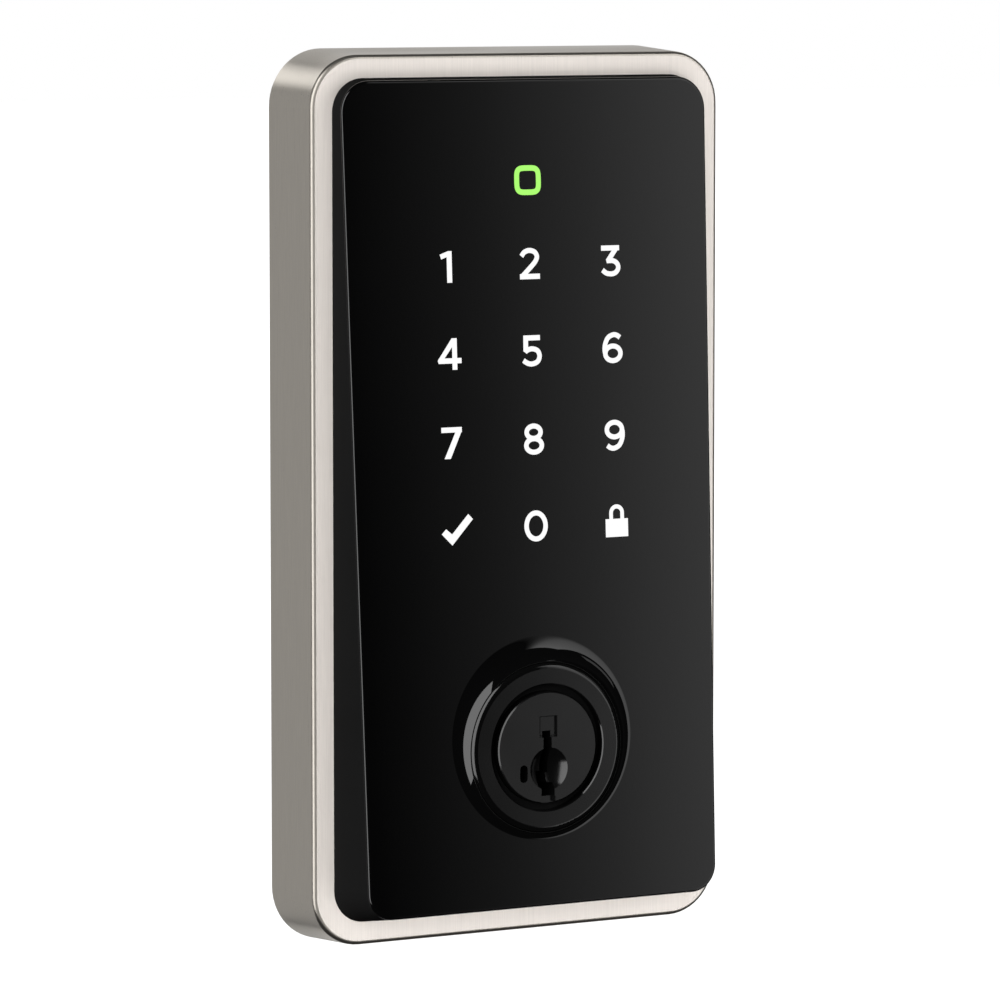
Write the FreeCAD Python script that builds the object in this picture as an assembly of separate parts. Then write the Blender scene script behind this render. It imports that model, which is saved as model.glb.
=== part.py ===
import FreeCAD, Part
import math
import os

# Exterior half of a keypad smart lock: a metal escutcheon frame, a glossy touch panel that stands
# out of it on a slant, the electronics behind the panel, and the key cylinder with its tumblers.
# Millimetres, +Z up. The lock faces -Y, and the door lies behind the plane y = 0.
# The origin is on the key cylinder's axis, in the plane where the lock meets the door.

V = FreeCAD.Vector
ALONG_X = V(1, 0, 0)
ALONG_Y = V(0, 1, 0)
ALONG_Z = V(0, 0, 1)
FIT = 0.05                      # radial clearance of a running fit
THREAD_GAP = 0.02               # radial gap kept between a screw and its threaded hole

# Escutcheon frame
FRONT_WIDTH = 73.7
FRONT_HEIGHT = 140.0
FRAME_DEPTH = 12.7
FRAME_DRAFT = 0.8               # growth of the outline on each side, from the front to the back
FRONT_CORNER = 8.3
EDGE_ROUND = 0.7
AXIS_ABOVE_BOTTOM = 30.6        # from the front's lower edge up to the cylinder axis
APERTURE_WIDTH = 66.3
APERTURE_HEIGHT = 132.75
APERTURE_CORNER = 5.3
WEB_FRONT = -5.0                # the web is the floor that carries panel and back plate
WEB_BACK = -2.5
RECESS_WIDTH = 69.0
RECESS_HEIGHT = 135.2
RECESS_CORNER = 5.6
SEAL_SIZE = (65.0, 131.4)       # seal ring that the panel's skirt presses on
SEAL_THICKNESS = 1.1
SEAL_DEPTH = 0.8
SEAL_CORNER = 4.6
MIDDLE = FRONT_HEIGHT / 2 - AXIS_ABOVE_BOTTOM
FRONT = -FRAME_DEPTH

# Touch panel: its face leans back by FACE_TILT about a level line through the cylinder axis
PANEL_GAP = 0.05
FACE_AT_AXIS = -20.6
FACE_TILT = 2.94
FACE_TOP = 105.5
FACE_BOTTOM = -25.4
FACE_TOP_WIDTH = 65.9
FACE_BOTTOM_WIDTH = 63.2
FACE_TOP_CORNER = 5.0
FACE_BOTTOM_CORNER = 4.3
FACE_EDGE_ROUND = 0.42
PANEL_WALL = 2.2
CAVITY_HALF_WIDTH = 29.6
CAVITY_TOP = 103.1
CAVITY_BOTTOM = -23.3
CAVITY_CORNER = 3.0
CAVITY_DEPTH = 24.0

# Flare: a concave blend that runs from the panel's face up to the collar
FLARE_FOOT_ABOVE = 17.65        # height of its foot above the axis
FLARE_FOOT_BELOW = 14.85        # and below the axis, where the face stands further out
FLARE_TOP = -21.88
FLARE_TOP_RADIUS = 13.7
FLARE_SECTIONS = 7
SEAT_RADIUS = 17.5              # flat seat behind the face for the cylinder's seal
SEAT_BACK = -17.0

# Keys and status light, as heights along the slanted face
KEY_PITCH_X = 14.8
KEY_PITCH_UP = 13.8
KEY_MIDDLE_X = -0.15
LOWEST_KEY_ROW = 35.07
KEY_COLUMNS = 3
KEY_ROWS = 4
STATUS_HEIGHT = 89.6

# Electronics stack, as depths behind the slanted face
BOARD_HALF_WIDTH = 26.0
BOARD_BOTTOM = 23.5
BOARD_TOP = 94.5
BOARD_CORNER = 2.0
DIFFUSER_TOP = 83.5
DIFFUSER_FRONT = 2.25
DIFFUSER_BACK = 2.75
BAFFLE_FRONT = 2.8
BAFFLE_BACK = 5.3
BOARD_FRONT = 5.35
BOARD_BACK = 6.95
KEY_WELL = 9.0
STATUS_WELL = 7.0
WELL_CORNER = 1.2
BOARD_SCREW_X = 23.0
BOARD_SCREW_HEIGHTS = (28.0, 90.0)
BOARD_BOSS_RADIUS = 2.2
BOARD_SCREW_RADIUS = 1.0

# Panel screws and module cover
PANEL_SCREW_X = 25.2
PANEL_SCREW_HEIGHTS = (98.6, -18.6)
PANEL_BOSS_RADIUS = 3.0
COVER_FRONT = -6.6
COVER_BACK = -5.1
M3_RADIUS = 1.5
M3_HEAD_RADIUS = 2.9
M3_HEAD_DEPTH = 1.4

# Back plate, gasket, grommet and mounting posts
PLATE_BACK = -1.0
PLATE_GAP = 0.1
PLATE_SCREW_X = 28.5
PLATE_SCREW_HEIGHTS = (70.0, 8.0)
GASKET_WIDTH = 6.0
POST_SPACING = 38.0
POST_RADIUS = 3.6
POST_END = 16.0
POST_SHANK_RADIUS = 2.5
POST_THREAD_RADIUS = 2.0
POST_THREAD_DEPTH = 12.0
CABLE_HEIGHT = 21.5
CABLE_HOLE_RADIUS = 3.4
GROMMET_RADIUS = 4.2
GROMMET_LIP_RADIUS = 5.2

# Key cylinder
COLLAR_FACE = -22.3
COLLAR_BACK = -20.7
COLLAR_RADIUS = 13.5
COLLAR_BORE = 10.1
COLLAR_ROUND = 1.1              # rolled edge, which stops at COLLAR_RADIUS before it is upright
COLLAR_ROUND_OUTER = 13.7
COLLAR_SKIRT = (11.5, 12.3)
COLLAR_SKIRT_DEPTH = 1.5
NOSE_HOLE_RADIUS = 13.6
SHOULDER_FRONT = -16.4
SHOULDER_RADIUS = 15.0
BODY_HOLE_RADIUS = 15.2
FLANGE_RADIUS = 14.5
FLANGE_BACK = 1.0
EAR_REACH = 13.0
EAR_RADIUS = 4.2
BARREL_RADIUS = 12.0
BARREL_BACK = 8.0

# Plug
PLUG_RADIUS = 8.9
PLUG_CHAMFER = 0.18
KEYWAY_STEPS = (((-0.75, 0.75), (-4.2, 2.65)), ((-1.6, 0.3), (-6.2, -3.8)),
                ((-1.1, 1.3), (-7.8, -5.7)))
FUNNEL_RADIUS = 3.4
FUNNEL_DEPTH = 1.5
FUNNEL_X = 0.25
FUNNEL_Z = -3.4
MARK_X = (-1.45, 1.75)
MARK_Z = (1.62, 5.06)
MARK_DEPTH = 0.45
NOTCH_X = (-1.1, 1.45)
NOTCH_Z = (-10, -7.8)
NOTCH_DEPTH = 0.8
TOOL_SLOT_AT_X = -4.3
TOOL_SLOT_WIDTH = 1.37
TOOL_SLOT_Z = (-5.34, -2.54)
TOOL_SLOT_CORNER = 0.68
TOOL_SLOT_DEPTH = 8
TAIL_RADIUS = 6.0
TAIL_BACK = 13.0
KEYWAY_BACK = 4.0
CLIP_FRONT = 8.1
CLIP_BACK = 8.9
CLIP_GROOVE_RADIUS = 5.2
CLIP_RADIUS = 10.5
BLADE_HALF_THICK = 0.9
BLADE_HALF_WIDTH = 3.1
BLADE_FRONT = 5.1
BLADE_BACK = 46.0
BLADE_SLOT_GAP = 0.05
BLADE_PIN_RADIUS = 0.8
BLADE_PIN_PLACE = 11.0

# Tumblers: followers stand in vertical chambers, each with a wafer beside it
TUMBLERS = 5
TUMBLER_PITCH = 3.8
FIRST_TUMBLER = -16.1
FOLLOWER_RADIUS = 1.3
FOLLOWER_BOTTOM = -1.3
FOLLOWER_TIP = 0.7
FOLLOWER_TOP = 4.1
FOLLOWER_NECK_RADIUS = 1.0
FOLLOWER_NECK = (0.95, 1.85)
CHAMBER_RADIUS = 1.36
CHAMBER_BOTTOM = -1.5
CHAMBER_TOP = 7.75
SPRING_RADIUS = 1.15
SPRING_BORE = 0.75
WAFER_X = (1.45, 2.85)
WAFER_HALF_THICK = 0.9
WAFER_Z = (-3.2, 3.9)
WAFER_SLOT_X = (1.4, 2.95)
WAFER_SLOT_HALF = 0.95
WAFER_SLOT_Z = (-4.5, 7.0)
WAFER_TAB_X = 1.05
WAFER_TAB_HALF = 0.5
WAFER_TAB_Z = (1.05, 1.75)
SIDEBAR_X = (3.0, 8.5)
SIDEBAR_Y = (-19.4, 2.6)
SIDEBAR_HALF = 1.2
SIDEBAR_GAP = 0.05
SIDEBAR_SPRINGS_Y = (-18.4, 1.7)
COVER_STRIP_X = (-1.65, 1.65)
COVER_STRIP_Y = (-18.0, 1.2)
COVER_STRIP_TOP = 8.65
COVER_SLOT_X = (-1.7, 1.7)
COVER_SLOT_Y = (-18.05, 1.25)
SIDEBAR_NOSE = 0.8              # length of the wedge on the sidebar's outer edge
SIDEBAR_NOSE_HALF = 0.4         # half height of the flat at its tip
SIDEBAR_SPRING_X = 1.4
SIDEBAR_SPRING_RADIUS = 0.6
WAFER_GATE_DEPTH = 0.5
WAFER_GATE_Z = (-2.6, -2.0)
FOLLOWER_POINT_RADIUS = 0.5
CLIP_MOUTH = 3.4


def bar_y(radius, y_front, y_back, x=0.0, z=0.0):
    """Round bar parallel to Y."""
    return Part.makeCylinder(radius, y_back - y_front, V(x, y_front, z), ALONG_Y)


def cone_y(front_radius, back_radius, y_front, y_back, x=0.0, z=0.0):
    """Round taper parallel to Y."""
    return Part.makeCone(front_radius, back_radius, y_back - y_front, V(x, y_front, z), ALONG_Y)


def block(x, y, z):
    """Box given by its (low, high) limits on each axis."""
    return Part.makeBox(x[1] - x[0], y[1] - y[0], z[1] - z[0], V(x[0], y[0], z[0]))


def joined(shapes):
    """One solid out of several that touch or overlap."""
    return shapes[0].fuse(shapes[1:]).removeSplitter()


def cut(shape, tools):
    """The shape with every tool taken away."""
    return shape.cut(tools)


def four_corners(bottom_width, top_width, bottom, top, bottom_corner, top_corner):
    """Corners (x, z, radius) of an upright outline, from lower left, anticlockwise."""
    low = bottom_width / 2
    high = top_width / 2
    return [
        (-low, bottom, bottom_corner),
        (low, bottom, bottom_corner),
        (high, top, top_corner),
        (-high, top, top_corner),
    ]


def rectangle(width, height, corner, middle=MIDDLE):
    """Corners of a rounded rectangle about the height of the frame's middle."""
    return four_corners(width, width, middle - height / 2, middle + height / 2, corner, corner)


def outline(corners, y):
    """Closed wire in the plane at y, with each corner rounded by a tangent arc."""
    points = [V(x, y, z) for x, z, radius in corners]
    ends = []
    for place, (x, z, radius) in enumerate(corners):
        corner = points[place]
        to_last = (points[place - 1] - corner).normalize()
        to_next = (points[(place + 1) % len(points)] - corner).normalize()
        half_angle = to_last.getAngle(to_next) / 2
        reach = radius / math.tan(half_angle)
        bisector = (to_last + to_next).normalize()
        middle = corner + bisector * (radius / math.sin(half_angle) - radius)
        ends.append((corner + to_last * reach, middle, corner + to_next * reach))
    edges = []
    for place, (start, middle, finish) in enumerate(ends):
        edges.append(Part.Arc(start, middle, finish).toShape())
        following = ends[(place + 1) % len(ends)][0]
        edges.append(Part.makeLine(finish, following))
    return Part.Wire(edges)


def plate(corners, y_front, y_back):
    """Flat plate with the given rounded outline."""
    return Part.Face(outline(corners, y_front)).extrude(V(0, y_back - y_front, 0))


def on_face(shape):
    """Turns and moves a shape so that its plane y = 0 lies on the panel's slanted face."""
    moved = shape.copy()
    moved.rotate(V(0, 0, 0), ALONG_X, -FACE_TILT)
    moved.translate(V(0, FACE_AT_AXIS, 0))
    return moved


def group(solids):
    """Separate identical pieces kept together in one node."""
    return Part.makeCompound(solids)


def edges_in_plane(shape, y):
    """Edges that lie wholly in the plane at y."""
    found = []
    for edge in shape.Edges:
        box = edge.BoundBox
        if abs(box.YMin - y) < 1e-3 and abs(box.YMax - y) < 1e-3:
            found.append(edge)
    return found


def key_places():
    """(x, height along the face) of each key, from the lowest row up."""
    places = []
    for row in range(KEY_ROWS):
        for column in range(KEY_COLUMNS):
            x = KEY_MIDDLE_X + (column - 1) * KEY_PITCH_X
            places.append((x, LOWEST_KEY_ROW + row * KEY_PITCH_UP))
    return places


def board_screw_places():
    return [(side * BOARD_SCREW_X, z) for side in (-1, 1) for z in BOARD_SCREW_HEIGHTS]


def panel_screw_places():
    return [(side * PANEL_SCREW_X, z) for side in (-1, 1) for z in PANEL_SCREW_HEIGHTS]


def plate_screw_places():
    return [(side * PLATE_SCREW_X, z) for side in (-1, 1) for z in PLATE_SCREW_HEIGHTS]


def ear_places():
    """The cylinder's two fixing screws, on a diagonal."""
    return [(-EAR_REACH, EAR_REACH), (EAR_REACH, -EAR_REACH)]


def tumbler_places():
    return [FIRST_TUMBLER + place * TUMBLER_PITCH for place in range(TUMBLERS)]


def countersink(x, z, y_back):
    """Space for a flat-headed M3 screw whose head is flush at y_back."""
    return cone_y(M3_RADIUS, M3_HEAD_RADIUS, y_back - M3_HEAD_DEPTH, y_back, x, z)


def flat_head_screw(x, z, y_front, y_back):
    """M3 screw with a flat head and a cross recess."""
    gap = THREAD_GAP
    shank = bar_y(M3_RADIUS - gap, y_front, y_back - M3_HEAD_DEPTH, x, z)
    head = cone_y(M3_RADIUS - gap, M3_HEAD_RADIUS - gap, y_back - M3_HEAD_DEPTH, y_back, x, z)
    return cut(joined([shank, head]), cross_recess(x, z, y_back, 1.5, 0.9))


def cross_recess(x, z, y_back, reach, depth):
    """Two crossed slots for a screwdriver, reaching in from y_back."""
    half = 0.25
    over = 0.5
    across = block((x - reach, x + reach), (y_back - depth, y_back + over), (z - half, z + half))
    upright = block((x - half, x + half), (y_back - depth, y_back + over), (z - reach, z + reach))
    return [across, upright]


def escutcheon_frame():
    """Drafted metal surround with an aperture in front, a web, and a recess behind."""
    front = outline(rectangle(FRONT_WIDTH, FRONT_HEIGHT, FRONT_CORNER), FRONT)
    back_width = FRONT_WIDTH + 2 * FRAME_DRAFT
    back_height = FRONT_HEIGHT + 2 * FRAME_DRAFT
    back = outline(rectangle(back_width, back_height, FRONT_CORNER + FRAME_DRAFT), 0)
    body = Part.makeLoft([back, front], True, True)
    body = body.makeFillet(EDGE_ROUND, edges_in_plane(body, FRONT))
    aperture = plate(rectangle(APERTURE_WIDTH, APERTURE_HEIGHT, APERTURE_CORNER), FRONT - 1, WEB_FRONT)
    recess = plate(rectangle(RECESS_WIDTH, RECESS_HEIGHT, RECESS_CORNER), WEB_BACK, 1)
    tools = [aperture, recess, bar_y(BODY_HOLE_RADIUS, FRONT, 1), seal_ring(0.05)]
    tools.append(bar_y(GROMMET_RADIUS, FRONT, 1, 0, CABLE_HEIGHT))
    for x, z in panel_screw_places():
        tools.append(bar_y(M3_RADIUS, FRONT, 0, x, z))
        tools.append(countersink(x, z, WEB_BACK))
    for x, z in plate_screw_places() + ear_places():
        tools.append(bar_y(M3_RADIUS, FRONT, 0, x, z))
    return cut(body, tools)


def seal_ring(growth=0.0):
    """Ring that lies in the web under the panel's skirt; growth widens it into its groove."""
    width, height = SEAL_SIZE
    outer = rectangle(width + 2 * growth, height + 2 * growth, SEAL_CORNER)
    shrink = 2 * (SEAL_THICKNESS + growth)
    inner = rectangle(width - shrink, height - shrink, SEAL_CORNER - 1)
    back = WEB_FRONT + SEAL_DEPTH
    return plate(outer, WEB_FRONT, back).cut(plate(inner, WEB_FRONT, back))


def face_corners():
    return four_corners(FACE_BOTTOM_WIDTH, FACE_TOP_WIDTH, FACE_BOTTOM, FACE_TOP,
                        FACE_BOTTOM_CORNER, FACE_TOP_CORNER)


def cavity_corners(inset=0.0):
    width = 2 * (CAVITY_HALF_WIDTH - inset)
    return four_corners(width, width, CAVITY_BOTTOM + inset, CAVITY_TOP - inset,
                        CAVITY_CORNER, CAVITY_CORNER)


def face_y(z):
    """Where the slanted face stands at a height."""
    return FACE_AT_AXIS + z * math.tan(math.radians(FACE_TILT))


def flare_arc(side):
    """Foot height, radius and sweep of the blend's arc above (side 1) or below (side -1) the axis."""
    tilt = math.radians(FACE_TILT)
    foot = FLARE_FOOT_ABOVE if side > 0 else -FLARE_FOOT_BELOW
    out = face_y(foot) - FLARE_TOP
    inward = abs(foot) - FLARE_TOP_RADIUS
    reach = inward * math.cos(tilt) + side * out * math.sin(tilt)
    rise = out * math.cos(tilt) - side * inward * math.sin(tilt)
    radius = (reach ** 2 + rise ** 2) / (2 * rise)
    return foot, radius, math.asin(reach / radius)


def flare_point(side, share):
    """Point on the arc above or below the axis, from the foot (share 0) to the top (share 1)."""
    tilt = math.radians(FACE_TILT)
    foot, radius, sweep = flare_arc(side)
    along = radius * math.sin(sweep * share)
    off = radius * (1 - math.cos(sweep * share))
    z = foot - side * along * math.cos(tilt) + off * math.sin(tilt)
    return V(0, face_y(foot) - side * along * math.sin(tilt) - off * math.cos(tilt), z)


def flare():
    """Concave blend round the collar, lofted through circles that turn from the face's slant to level."""
    rings = []
    for section in range(FLARE_SECTIONS):
        share = section / (FLARE_SECTIONS - 1)
        top = flare_point(1, share)
        bottom = flare_point(-1, share)
        upward = top - bottom
        axis = V(0, upward.z, -upward.y)
        rings.append(Part.Wire(Part.makeCircle(upward.Length / 2, (top + bottom) / 2, axis)))
    return Part.makeLoft(rings, True, False)


def face_edges(shape):
    """Edges round the slanted face."""
    found = []
    slope = math.tan(math.radians(FACE_TILT))
    for edge in shape.Edges:
        ends = [vertex.Point for vertex in edge.Vertexes]
        middle = edge.valueAt((edge.FirstParameter + edge.LastParameter) / 2)
        on_plane = [abs(p.y - FACE_AT_AXIS - p.z * slope) < 0.01 for p in ends + [middle]]
        if all(on_plane) and abs(middle.x) + abs(middle.z - MIDDLE) > 20 and len(ends) == 2:
            found.append(edge)
    return found


def touch_panel():
    """Glossy cover: straight skirt in the frame, drafted sides, slanted face and flared collar seat."""
    skirt_corners = rectangle(APERTURE_WIDTH - 2 * PANEL_GAP, APERTURE_HEIGHT - 2 * PANEL_GAP,
                              APERTURE_CORNER - PANEL_GAP)
    skirt = plate(skirt_corners, FRONT, WEB_FRONT)
    raised = Part.makeLoft([outline(skirt_corners, FRONT), on_face(outline(face_corners(), 0))],
                           True, True)
    raised = raised.makeFillet(FACE_EDGE_ROUND, face_edges(raised))
    cavity = on_face(plate(cavity_corners(), PANEL_WALL, CAVITY_DEPTH))
    seat = bar_y(SEAT_RADIUS, FACE_AT_AXIS - 5, SEAT_BACK)
    bosses = []
    pilots = []
    for x, z in panel_screw_places():
        boss = bar_y(PANEL_BOSS_RADIUS, FACE_AT_AXIS - 2, COVER_FRONT, x, z)
        bosses.append(boss.common(cavity))
        pilots.append(bar_y(M3_RADIUS, COVER_FRONT - 5.4, COVER_FRONT + 1, x, z))
    for x, z in board_screw_places():
        bosses.append(on_face(bar_y(BOARD_BOSS_RADIUS, PANEL_WALL - 0.5, BAFFLE_BACK, x, z)))
        pilots.append(on_face(bar_y(BOARD_SCREW_RADIUS, BAFFLE_BACK - 2.4, BAFFLE_BACK + 1, x, z)))
    shell = cut(joined([skirt, raised]), [cavity.cut(seat)])
    shell = joined([shell, flare()] + bosses)
    return cut(shell, pilots + [bar_y(NOSE_HOLE_RADIUS, FACE_AT_AXIS - 5, 0)])


def board_corners(inset=0.0):
    width = 2 * (BOARD_HALF_WIDTH - inset)
    return four_corners(width, width, BOARD_BOTTOM + inset, BOARD_TOP - inset,
                        BOARD_CORNER, BOARD_CORNER)


def diffuser_sheet():
    """Thin white sheet that spreads the light behind the key symbols."""
    corners = board_corners(inset=0.5)
    low, high = corners[:2], corners[2:]
    corners = low + [(x, DIFFUSER_TOP, radius) for x, z, radius in high]
    sheet = plate(corners, DIFFUSER_FRONT, DIFFUSER_BACK)
    holes = [bar_y(BOARD_BOSS_RADIUS + 0.2, 0, 10, x, z) for x, z in board_screw_places()]
    return on_face(cut(sheet, holes))


def well(x, z, size, y_front, y_back):
    """Rounded square column through the light baffle."""
    return plate(four_corners(size, size, z - size / 2, z + size / 2, WELL_CORNER, WELL_CORNER),
                 y_front, y_back)


def light_baffle():
    """White grid that keeps each key's light in its own well."""
    grid = plate(board_corners(), BAFFLE_FRONT, BAFFLE_BACK)
    tools = []
    for x, z in key_places():
        hole = well(0, z, KEY_WELL, 0, 10)
        hole.translate(V(x, 0, 0))
        tools.append(hole)
    tools.append(well(0, STATUS_HEIGHT, STATUS_WELL, 0, 10))
    for x, z in board_screw_places():
        tools.append(bar_y(BOARD_BOSS_RADIUS + 0.1, 0, 10, x, z))
    return on_face(cut(grid, tools))


def status_light_pipe():
    """Clear rounded square block that carries the status light to the face."""
    block_front = DIFFUSER_FRONT
    block_back = BOARD_FRONT - 1.0
    return on_face(well(0, STATUS_HEIGHT, STATUS_WELL - 0.4, block_front, block_back))


def touch_board():
    """Circuit board with the touch pads."""
    board = plate(board_corners(), BOARD_FRONT, BOARD_BACK)
    holes = [bar_y(BOARD_SCREW_RADIUS + 0.1, 0, 10, x, z) for x, z in board_screw_places()]
    return on_face(cut(board, holes))


def light_chip(x, z):
    """Small surface-mounted light on the board's front."""
    height = 0.75
    return block((x - 1.0, x + 1.0), (BOARD_FRONT - height, BOARD_FRONT), (z - 0.65, z + 0.65))


def key_leds():
    return on_face(group([light_chip(x, z) for x, z in key_places()]))


def status_leds():
    return on_face(group([light_chip(side * 1.6, STATUS_HEIGHT) for side in (-1, 1)]))


def controller_chip():
    """Touch controller on the board's back."""
    side = 4.5
    height = 1.0
    return on_face(block((-side, side), (BOARD_BACK, BOARD_BACK + height), (60 - side, 60 + side)))


def cable_connector():
    """Open-topped header on the board's back that the cable plugs into."""
    half_width = 6.0
    bottom = 24.5
    top = 30.5
    wall = 0.8
    depth = 4.0
    header = block((-half_width, half_width), (BOARD_BACK, BOARD_BACK + depth), (bottom, top))
    mouth = block((-half_width + wall, half_width - wall),
                  (BOARD_BACK + wall, BOARD_BACK + depth - wall), (bottom - 1, top - wall))
    return on_face(cut(header, [mouth]))


def board_screws():
    """Pan-headed M2 screws through the board into the panel's bosses."""
    screws = []
    for x, z in board_screw_places():
        radius = BOARD_SCREW_RADIUS - THREAD_GAP
        shank = bar_y(radius, BAFFLE_BACK - 2.3, BOARD_BACK, x, z)
        head = bar_y(1.9, BOARD_BACK, BOARD_BACK + 1.2, x, z)
        screws.append(cut(joined([shank, head]), cross_recess(x, z, BOARD_BACK + 1.2, 1.1, 0.7)))
    return on_face(group(screws))


def module_cover():
    """Flat black cover that closes the panel's back."""
    bottom = CAVITY_BOTTOM - 0.3
    top = CAVITY_TOP - 1.3
    width = 2 * CAVITY_HALF_WIDTH - 0.6
    cover = plate(four_corners(width, width, bottom, top, CAVITY_CORNER, CAVITY_CORNER),
                  COVER_FRONT, COVER_BACK)
    tools = [bar_y(BODY_HOLE_RADIUS + 0.1, -10, 0), bar_y(GROMMET_RADIUS - 0.4, -10, 0, 0, CABLE_HEIGHT)]
    tools += [bar_y(M3_RADIUS + 0.1, -10, 0, x, z) for x, z in panel_screw_places()]
    return cut(cover, tools)


def panel_screws():
    return group([flat_head_screw(x, z, COVER_FRONT - 5.2, WEB_BACK) for x, z in panel_screw_places()])


def back_plate():
    """Steel plate in the frame's rear recess."""
    sheet = plate(rectangle(RECESS_WIDTH - 2 * PLATE_GAP, RECESS_HEIGHT - 2 * PLATE_GAP,
                            RECESS_CORNER - PLATE_GAP), WEB_BACK, PLATE_BACK)
    tools = [bar_y(BODY_HOLE_RADIUS, -5, 1), bar_y(GROMMET_RADIUS, -5, 1, 0, CABLE_HEIGHT)]
    for side in (-1, 1):
        tools.append(bar_y(POST_SHANK_RADIUS, -5, 1, side * POST_SPACING / 2))
    for x, z in plate_screw_places():
        tools.append(bar_y(M3_RADIUS, -5, 1, x, z))
        tools.append(countersink(x, z, PLATE_BACK))
    for x, z in ear_places():
        tools.append(bar_y(M3_RADIUS, -5, 1, x, z))
    return cut(sheet, tools)


def back_plate_screws():
    return group([flat_head_screw(x, z, WEB_FRONT + 0.1, PLATE_BACK) for x, z in plate_screw_places()])


def rear_gasket():
    """Flat rubber ring that seals against the door."""
    width = RECESS_WIDTH - 2 * PLATE_GAP
    height = RECESS_HEIGHT - 2 * PLATE_GAP
    outer = plate(rectangle(width, height, RECESS_CORNER - PLATE_GAP), PLATE_BACK, 0)
    inner = plate(rectangle(width - 2 * GASKET_WIDTH, height - 2 * GASKET_WIDTH, 3.0), PLATE_BACK - 1, 1)
    relief = [bar_y(M3_HEAD_RADIUS + 0.3, PLATE_BACK, 1, x, z) for x, z in plate_screw_places()]
    return cut(outer, [inner] + relief)


def cable_grommet():
    """Rubber bush that lines the cable's way through web and back plate."""
    lip = bar_y(GROMMET_LIP_RADIUS, PLATE_BACK, PLATE_BACK + 0.8, 0, CABLE_HEIGHT)
    sleeve = bar_y(GROMMET_RADIUS - THREAD_GAP, WEB_FRONT, PLATE_BACK, 0, CABLE_HEIGHT)
    return cut(joined([sleeve, lip]), [bar_y(CABLE_HOLE_RADIUS, -10, 2, 0, CABLE_HEIGHT)])


def mounting_post(side):
    """Threaded post that takes a bolt from the inside of the door."""
    x = side * POST_SPACING / 2
    shank = bar_y(POST_SHANK_RADIUS - THREAD_GAP, WEB_BACK, PLATE_BACK, x)
    barrel = bar_y(POST_RADIUS, PLATE_BACK, POST_END - 0.5, x)
    end = cone_y(POST_RADIUS, POST_RADIUS - 0.5, POST_END - 0.5, POST_END, x)
    thread = bar_y(POST_THREAD_RADIUS, POST_END - POST_THREAD_DEPTH, POST_END, x)
    return cut(joined([shank, barrel, end]), [thread])


def cylinder_collar():
    """Black trim ring round the plug, pressed into the cylinder body's nose."""
    ring = bar_y(COLLAR_ROUND_OUTER, COLLAR_FACE, COLLAR_BACK)
    ring = ring.makeFillet(COLLAR_ROUND, edges_in_plane(ring, COLLAR_FACE))
    ring = ring.common(bar_y(COLLAR_RADIUS, COLLAR_FACE, COLLAR_BACK))
    skirt = bar_y(COLLAR_SKIRT[1], COLLAR_BACK, COLLAR_BACK + COLLAR_SKIRT_DEPTH)
    tools = [bar_y(COLLAR_BORE, COLLAR_FACE - 1, COLLAR_BACK + 0.5)]
    tools.append(bar_y(COLLAR_SKIRT[0], COLLAR_BACK, 0))
    tools.append(cone_y(COLLAR_BORE + 0.15, COLLAR_BORE, COLLAR_FACE, COLLAR_FACE + 0.15))
    return cut(joined([ring, skirt]), tools)


def cylinder_body():
    """Housing of the plug: nose in the panel, shoulder, fixing flange with two ears, and barrel."""
    parts = [bar_y(COLLAR_RADIUS, COLLAR_BACK, SHOULDER_FRONT)]
    parts.append(bar_y(SHOULDER_RADIUS, SHOULDER_FRONT, PLATE_BACK))
    parts.append(bar_y(FLANGE_RADIUS, PLATE_BACK, FLANGE_BACK))
    parts.append(bar_y(BARREL_RADIUS, FLANGE_BACK, BARREL_BACK))
    arm = EAR_REACH * math.sqrt(2)
    strap = block((-EAR_RADIUS, EAR_RADIUS), (PLATE_BACK, FLANGE_BACK), (-arm, arm))
    strap.rotate(V(0, 0, 0), ALONG_Y, -45)
    parts.append(strap)
    parts += [bar_y(EAR_RADIUS, PLATE_BACK, FLANGE_BACK, x, z) for x, z in ear_places()]
    tools = [bar_y(PLUG_RADIUS + FIT, -30, 30)]
    tools += [bar_y(M3_RADIUS, -30, 30, x, z) for x, z in ear_places()]
    skirt_room = bar_y(COLLAR_SKIRT[1] + FIT, COLLAR_BACK, COLLAR_BACK + COLLAR_SKIRT_DEPTH + 0.1)
    tools.append(skirt_room.cut(bar_y(COLLAR_SKIRT[0] - FIT, -30, 0)))
    tools.append(sidebar_groove())
    return cut(joined(parts), tools)


def sidebar_groove():
    """V-shaped groove in the bore that the locked sidebar drops into."""
    half = 1.3
    deep = 10.1
    wide = PLUG_RADIUS - 0.6
    corners = [V(wide, SIDEBAR_Y[0], -half), V(deep, SIDEBAR_Y[0], -0.4),
               V(deep, SIDEBAR_Y[0], 0.4), V(wide, SIDEBAR_Y[0], half)]
    face = Part.Face(Part.makePolygon(corners + corners[:1]))
    return face.extrude(V(0, SIDEBAR_Y[1] - SIDEBAR_Y[0], 0))


def cylinder_seal():
    """Flat ring between the panel's seat and the cylinder body's shoulder."""
    ring = bar_y(SEAT_RADIUS - 1.0, SEAT_BACK, SHOULDER_FRONT)
    return ring.cut(bar_y(COLLAR_RADIUS + FIT, -30, 0))


def cylinder_screws():
    """Pan-headed M3 screws through the flange's ears into the web."""
    screws = []
    for x, z in ear_places():
        shank = bar_y(M3_RADIUS - THREAD_GAP, WEB_FRONT + 0.1, FLANGE_BACK, x, z)
        head = bar_y(2.75, FLANGE_BACK, FLANGE_BACK + 1.9, x, z)
        screws.append(cut(joined([shank, head]), cross_recess(x, z, FLANGE_BACK + 1.9, 1.5, 1.0)))
    return group(screws)


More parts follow.
